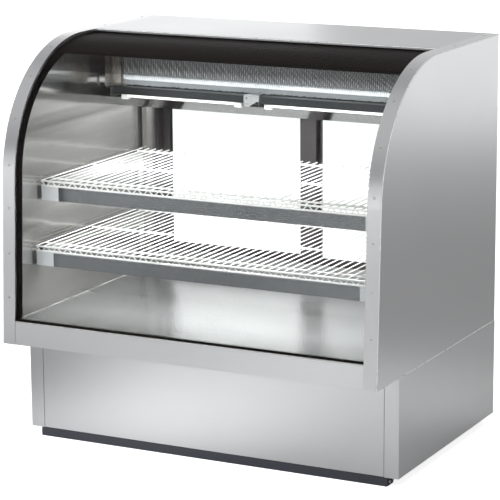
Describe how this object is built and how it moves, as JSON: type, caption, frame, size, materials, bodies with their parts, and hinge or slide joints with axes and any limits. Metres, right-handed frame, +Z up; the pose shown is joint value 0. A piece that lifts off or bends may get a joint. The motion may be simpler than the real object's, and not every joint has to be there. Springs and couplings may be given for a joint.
{
  "type": "refrigerated deli case",
  "caption": "Curved-glass refrigerated deli case with wire shelves, gravity coil, rear sliding glass doors and a condensing unit in its base.",
  "frame": {"origin": "on the floor, at the middle of the case's width and depth", "axes": "+X along the case to the customer's right, +Y towards the server's side with the sliding doors, +Z up"},
  "size_m": [1.226, 0.892, 1.2139],
  "materials": {
    "brushed_stainless": "satin brushed",
    "polished_stainless": "bright",
    "zinc_sheet": "galvanised",
    "black_steel": "satin",
    "foam": "foamed core",
    "clear_glass": "clear",
    "black_seal": "printed border and edge seal",
    "dark_frame": "satin",
    "aluminium_track": "extruded",
    "fin_stock": "mill",
    "copper": "drawn tube",
    "grey_channel": "satin",
    "white_plastic": "gloss",
    "lamp_tube": "diffuse tube",
    "white_wire": "gloss coating",
    "black_dome": "gloss",
    "rubber": "matte",
    "clear_tube": "drain tube",
    "black_knob": "satin"
  },
  "bodies": {
    "cabinet": {"base_rails": "black_steel", "machine_tray": "zinc_sheet", "base_posts": "black_steel", "base_side_right": "brushed_stainless", "base_side_left": "brushed_stainless", "base_front_panel": "brushed_stainless", "rear_grille": "brushed_stainless", "cord_gland": "rubber", "compressor": "black_dome", "compressor_mounts": "rubber", "condenser_coil": "fin_stock", "fan_shroud": "zinc_sheet", "fan_motor": "black_steel", "receiver": "black_dome", "refrigerant_lines": "copper", "control_box": "zinc_sheet", "condensate_pan": "white_plastic", "end_panel_right": "brushed_stainless", "end_panel_left": "brushed_stainless", "end_liners": "polished_stainless", "end_trim_right": "brushed_stainless", "end_trim_left": "brushed_stainless", "trim_screws": "brushed_stainless", "top_panel": "brushed_stainless", "ceiling_liner": "polished_stainless", "cabinet_floor_pan": "zinc_sheet", "front_sill": "brushed_stainless", "cabinet_insulation": "foam", "interior_deck": "polished_stainless", "front_glass_panes": "clear_glass", "front_glass_seal": "black_seal", "rear_header": "brushed_stainless", "rear_sill": "brushed_stainless", "rear_jambs": "dark_frame", "door_tracks": "aluminium_track", "evaporator_fins": "fin_stock", "evaporator_tubes": "fin_stock", "evaporator_end_plates": "zinc_sheet", "coil_hangers": "polished_stainless", "drip_pan": "polished_stainless", "drain_line": "clear_tube", "lamp_rails": "grey_channel", "lamp_bracket": "polished_stainless", "lampholders": "white_plastic", "canopy_lamps": "lamp_tube", "shelf_standards": "polished_stainless", "shelf_brackets": "white_wire", "shelf_hoods": "grey_channel", "shelf_hood_ends": "white_plastic", "upper_shelf": "white_wire", "lower_shelf": "white_wire"},
    "left_door": {"left_door_frame": "dark_frame", "left_door_glass": "clear_glass", "left_door_handle": "dark_frame"},
    "right_door": {"right_door_frame": "dark_frame", "right_door_glass": "clear_glass", "right_door_handle": "dark_frame"},
    "condenser_fan": {"fan_blade": "aluminium_track"},
    "thermostat_dial": {"thermostat_knob": "black_knob"},
    "lamp_switch": {"switch_rocker": "black_knob"}
  },
  "joints": [
    {"name": "left_door_slide", "type": "slide", "parent": "cabinet", "child": "left_door", "axis": [1, 0, 0], "range_m": [0, 0.5]},
    {"name": "right_door_slide", "type": "slide", "parent": "cabinet", "child": "right_door", "axis": [-1, 0, 0], "range_m": [0, 0.5]},
    {"name": "condenser_fan_spin", "type": "hinge", "parent": "cabinet", "child": "condenser_fan", "pos_m": [-0.25, 0.352, 0.178], "axis": [0, 1, 0], "continuous": true},
    {"name": "thermostat_turn", "type": "hinge", "parent": "cabinet", "child": "thermostat_dial", "pos_m": [0.47, 0.435, 0.19], "axis": [0, 1, 0], "range_deg": [0, 270]},
    {"name": "lamp_switch_rock", "type": "hinge", "parent": "cabinet", "child": "lamp_switch", "pos_m": [0.4, 0.42, 0.19], "axis": [1, 0, 0], "range_deg": [0, 18]}
  ]
}
